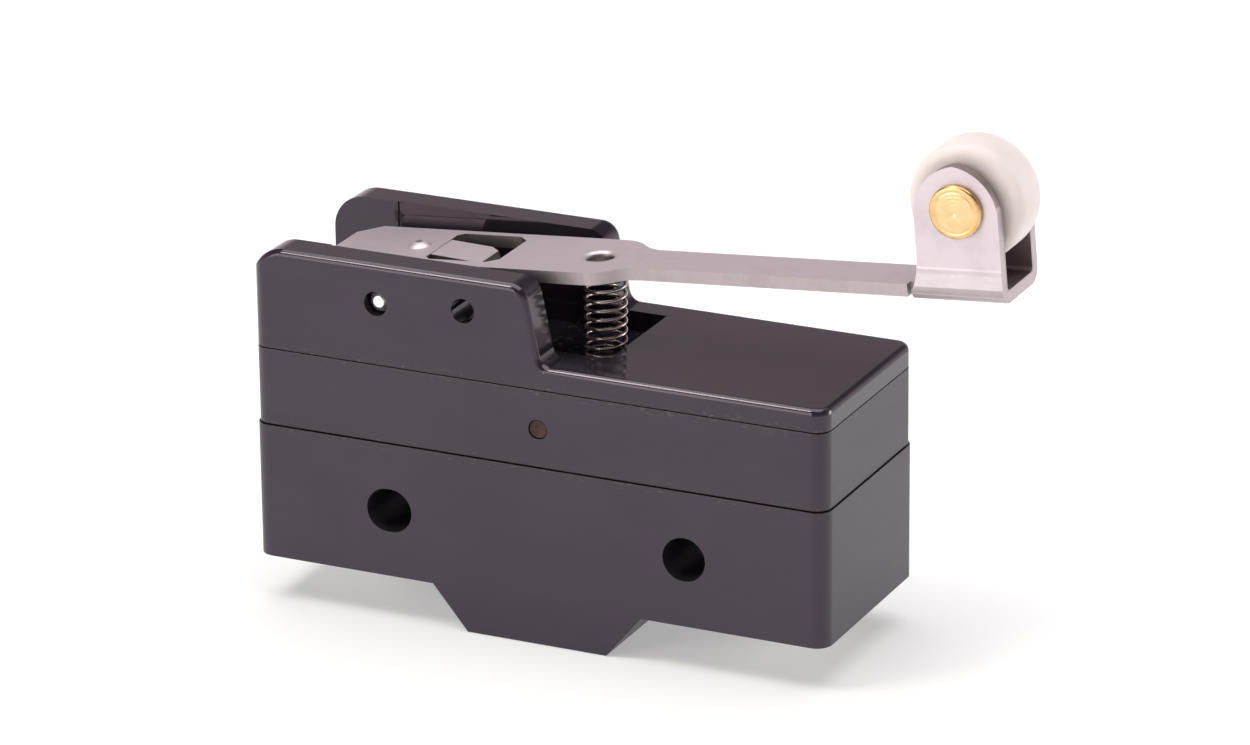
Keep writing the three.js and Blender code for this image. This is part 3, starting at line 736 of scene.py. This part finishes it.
def makeAxle(settings):
    # a shank between two heads. A head's height falls from its crown with the square of the radius,
    # less a bell curve for the centre mark and one for the ring, and its shoulder is a quarter turn
    radius, head, start = settings["radius"], settings["head"], settings["from"]
    crown, edge, doming = settings["crown"], settings["edge"], settings["doming"]
    share = np.linspace(0, 1, 40)
    across = (head - edge) * share
    fromRing = (across - settings["rim"]) / settings["rimWidth"]
    dent = (settings["markDepth"] * np.exp(-(across / settings["mark"]) ** 2)
            + settings["rimDepth"] * np.exp(-fromRing ** 2))
    dome = np.stack([across, start + crown - doming * share ** 2 - dent], -1)
    turn = np.linspace(0, math.pi / 2, 7)[1:]
    shoulder = np.stack([head - edge + edge * np.sin(turn),
                         start + crown - doming - edge * (1 - np.cos(turn))], -1)
    under = [(head, start + 0.03), (head - 0.05, start), (radius, start)]
    half = np.vstack([dome, shoulder, under])
    mirrored = half[::-1] * (1, -1)
    return turnedSurface("roller_rivet", np.vstack([half, mirrored]), axle, alongY, 96)


dressed(makeRoller(rollerSettings), "roller", "roller", nylon(nylonSettings))
dressed(makeAxle(axleSettings), "lever", "roller_axle", axleBrass)
print("roller made")


pinSettings = {"radius": 0.9, "flat": 0.46, "half": 8.17, "chamfer": 0.4, "rounding": 0.06}


def makePin(settings):
    radius, flat, half = settings["radius"], settings["flat"], settings["half"]
    outline = [(0, -half), (flat, -half), (radius, -half + settings["chamfer"]),
               (radius, half - settings["chamfer"]), (flat, half), (0, half)]
    profile = softened(outline, settings["rounding"])
    return turnedSurface("pivot_pin", profile, pivot, alongY, 48)


dressed(makePin(pinSettings), "body", "hinge_pin", stampedMetal("ground_pin"))


def nodeCentre(node):
    low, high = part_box(node)
    return (np.array(low) + np.array(high)) / 2


def makeTurned(name, node, outline, reach):
    # an upright turned piece whose heights start at the node's lowest point
    low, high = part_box(node)
    centre = np.array([(low.x + high.x) / 2, middleY, low.z])
    return turnedSurface(name, softened(outline, reach), centre, alongZ, 48)


plungerSettings = {
    "stem": 1.5,
    "tip": 0.85,
    "flange": 2.5,
    "flangeFrom": 2.25,
    "flangeTo": 3.05,
    "rounding": (0.25, 0.1, 0.15, 0.15, 0.12, 0.75),  # each corner's, from the tip up
}


def makePlunger(settings):
    low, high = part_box("plunger")
    top = (high.z - low.z) / mm
    tip, stem, flange = settings["tip"], settings["stem"], settings["flange"]
    start, end = settings["flangeFrom"], settings["flangeTo"]
    outline = [(0, 0), (tip, 0), (tip, start), (flange, start), (flange, end), (stem, end),
               (stem, top), (0, top)]
    return makeTurned("pin_plunger", "plunger", outline, settings["rounding"])


plungerPlastic = castResin("plunger")
dressed(makePlunger(plungerSettings), "plunger", "plunger", plungerPlastic)

plugSettings = {"dish": 0.10, "slope": 0.06, "flat": 0.6, "rounding": 0.1}


def makePlug(settings):
    # a short cylinder whose face sinks a little towards the middle
    low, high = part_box("seal_plug")
    radius = (high.x - low.x) / 2 / mm
    depth = (high.y - low.y) / mm
    outline = [(0, settings["dish"]), (radius * settings["flat"], settings["slope"]),
               (radius, 0.0), (radius, depth), (0, depth)]
    centre = nodeCentre("seal_plug")
    centre[1] = low.y
    return turnedSurface("resin_plug", softened(outline, settings["rounding"]), centre, alongY, 40)


dressed(makePlug(plugSettings), "body", "seal_plug", castResin("seal"))

silver = stampedMetal("contact_silver")
contactBodies = {"open_contact": "body", "closed_contact": "body", "moving_contact": "blade"}
contactSettings = {"flat": 0.7, "crown": 0.01, "edge": 0.08}


def makeContact(node, settings):
    # a low cylinder, slightly crowned at both ends
    low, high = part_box(node)
    radius = (high.x - low.x) / 2 / mm
    depth = (high.z - low.z) / mm
    flat, crown, edge = radius * settings["flat"], settings["crown"], settings["edge"]
    outline = [(0, 0), (flat, crown), (radius, edge), (radius, depth - edge),
               (flat, depth - crown), (0, depth)]
    return makeTurned(node + "_rivet", node, outline, edge)


for node, body in contactBodies.items():
    dressed(makeContact(node, contactSettings), body, node, silver)

strip = stampedMetal("terminal_brass")
bladeRivet = edgedCopy("anchor_rivet", "blade_rivet", 0.06)
dressed(bladeRivet, "body", "anchor_rivet", strip)
print("turned pieces made")


springSettings = {
    "turns": 9.6,
    "closed": 1.0,  # turns that lie closed at each end
    "endRise": 1.08,  # how far a closed turn climbs, in wire diameters
    "unevenness": 0.012,
    "startAngle": 0.6,
    "pitchDiameter": 3.16,
    "wire": 0.29,
    "lift": 0.08,
    "sides": 12,
    "stepsPerTurn": 48,
}


def makeSpring(settings):
    # centre line: radius (cos a, sin a), with a height that climbs slowly over the closed turns at
    # both ends and almost steadily between them. The wire is a circle square to that line
    low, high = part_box("return_spring")
    radius = settings["pitchDiameter"] / 2 * mm
    wire = settings["wire"] / 2 * mm
    bottom = low.z + wire
    top = high.z - wire + settings["lift"] * mm
    turns, closed = settings["turns"], settings["closed"]
    t = np.linspace(0, turns, int(turns * settings["stepsPerTurn"]))
    endRise = settings["wire"] * settings["endRise"] * mm
    ends = np.clip(t, 0, closed) / closed + np.clip(t - turns + closed, 0, closed) / closed
    share = np.clip((t - closed) / (turns - 2 * closed), 0, 1)
    share = share + settings["unevenness"] * np.sin(share * math.pi * 2)
    height = bottom + ends * endRise + share * (top - bottom - 2 * endRise)
    angle = t * 2 * math.pi + settings["startAngle"]
    centre = np.array([(low.x + high.x) / 2, middleY, 0.0])
    spoke = np.stack([np.cos(angle), np.sin(angle), np.zeros_like(angle)], -1)
    line = centre + radius * spoke + height[:, None] * np.array(alongZ)
    along = np.gradient(line, axis=0)
    along /= np.linalg.norm(along, axis=1, keepdims=True)
    side = np.cross(along, spoke)
    around = np.arange(settings["sides"]) * 2 * math.pi / settings["sides"]
    thickness = np.full(len(t), wire)
    thickness[[0, -1]] = 0.0
    circle = (np.cos(around)[None, :, None] * spoke[:, None]
              + np.sin(around)[None, :, None] * side[:, None])
    grid = line[:, None] + thickness[:, None, None] * circle
    grid[0] = line[1]
    grid[-1] = line[-2]
    return gridSurface("coil_spring", grid, closeColumns=True)


spring = makeSpring(springSettings)
dressed(spring, "body", "return_spring", stampedMetal("spring_wire"))
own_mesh(spring)
print("spring wound")


copper = stampedMetal("copper_strip")
zinc = stampedMetal("zinc_plate")
stripSettings = {
    # name, width of the rounded edges in mm, body, slot, material
    "common_terminal": ("common_strip", 0.06, "body", "terminal_brass", strip),
    "open_terminal": ("open_strip", 0.06, "body", "terminal_brass", strip),
    "closed_terminal": ("closed_strip", 0.06, "body", "terminal_brass", strip),
    "moving_blade": ("contact_blade", 0.03, "blade", "spring_bronze", copper),
    "tension_leaf": ("snap_leaf", 0.03, "leaf", "spring_bronze", copper),
    "common_screw": ("common_screw_head", 0.12, "body", "screw_steel", zinc),
    "open_screw": ("open_screw_head", 0.12, "body", "screw_steel", zinc),
    "closed_screw": ("closed_screw_head", 0.12, "body", "screw_steel", zinc),
    "common_washer": ("common_star_washer", 0.05, "body", "screw_steel", zinc),
    "open_washer": ("open_star_washer", 0.05, "body", "screw_steel", zinc),
    "closed_washer": ("closed_star_washer", 0.05, "body", "screw_steel", zinc),
}

for node, (name, width, body, slot, material) in stripSettings.items():
    dressed(edgedCopy(node, name, width, 2), body, node, material)
print("strips and screws made")


floorSettings = {
    "colour": (0.70, 0.70, 0.70),
    "roughness": 0.8,
    "gloss": 0.1,
    "glow": 0.35,  # the floor gives off a little light, as a light table does
    "reach": 3.0,
}


def makeFloor(settings):
    # a flat square grid: x and y run from -reach to reach at the floor's height
    steps = np.linspace(-settings["reach"], settings["reach"], 3)
    x, y = np.meshgrid(steps, steps, indexing="ij")
    grid = np.stack([x, y, np.full_like(x, floorZ)], -1)
    floor = meshObject("floor", grid.reshape(-1, 3), gridFaces(3, 3, False, False))
    recipe = newMaterial("pale_floor")
    paint = recipe.finish(Base_Color=settings["colour"], Roughness=settings["roughness"],
                          Specular_IOR_Level=settings["gloss"], Emission_Color=(1.0, 1.0, 1.0),
                          Emission_Strength=settings["glow"])
    floor.data.materials.append(paint)


skySettings = {
    # how bright the sky is at each height, from straight down (0) to straight up (1)
    "levels": [(0.0, 0.9), (0.50, 0.9), (0.55, 0.85), (0.63, 0.44), (0.69, 0.29), (0.76, 0.10),
               (0.90, 0.10), (1.0, 0.35)],
    "tint": (1.14, 0.97, 1.01),
}


def makeSky(settings):
    # bright below and round the horizon, dark above it, and a little lighter straight overhead
    recipe = Recipe(bpy.data.worlds.new("studio"), "Background")
    direction = recipe.node("ShaderNodeTexCoord")
    height = recipe.node("ShaderNodeSeparateXYZ", {}, {0: direction}, 2)
    level = recipe.node("ShaderNodeMapRange", {}, {"Value": height, "From Min": -1.0})
    stops = [(position, tuple(value * share for share in settings["tint"]))
             for position, value in settings["levels"]]
    colour = recipe.node("ShaderNodeValToRGB", {"stops": stops}, {0: level})
    bpy.context.scene.world = recipe.finish(Color=colour)


lampSettings = {
    # where each lamp stands, its width, its power and its colour
    "key": ((-0.28, -0.25, 0.60), 0.20, 1.4, (1.0, 0.93, 0.84)),
    "overhead": ((0.0, 0.12, 0.80), 0.90, 6.0, (1.0, 1.0, 1.0)),
    "front_fill": ((-0.30, -0.60, 0.22), 0.45, 1.6, (1.0, 0.99, 0.96)),
    "back_right": ((0.62, 0.50, 0.08), 0.40, 2.3, (1.0, 0.97, 0.97)),
}


lampAim = Vector((0.004, middleY, 0.01))


def makeLamps(settings):
    # square lamps that all face the object
    for name, (position, width, power, colour) in settings.items():
        lamp = bpy.data.lights.new(name, "AREA")
        lamp.shape = "SQUARE"
        lamp.size = width
        lamp.energy = power
        lamp.color = colour
        stand = bpy.data.objects.new(name, lamp)
        spot = Vector(position)
        turn = (lampAim - spot).to_track_quat("-Z", "Y").to_matrix().to_4x4()
        stand.matrix_world = Matrix.Translation(spot) @ turn
        bpy.context.scene.collection.objects.link(stand)


makeFloor(floorSettings)
makeSky(skySettings)
makeLamps(lampSettings)
print("stage lit")
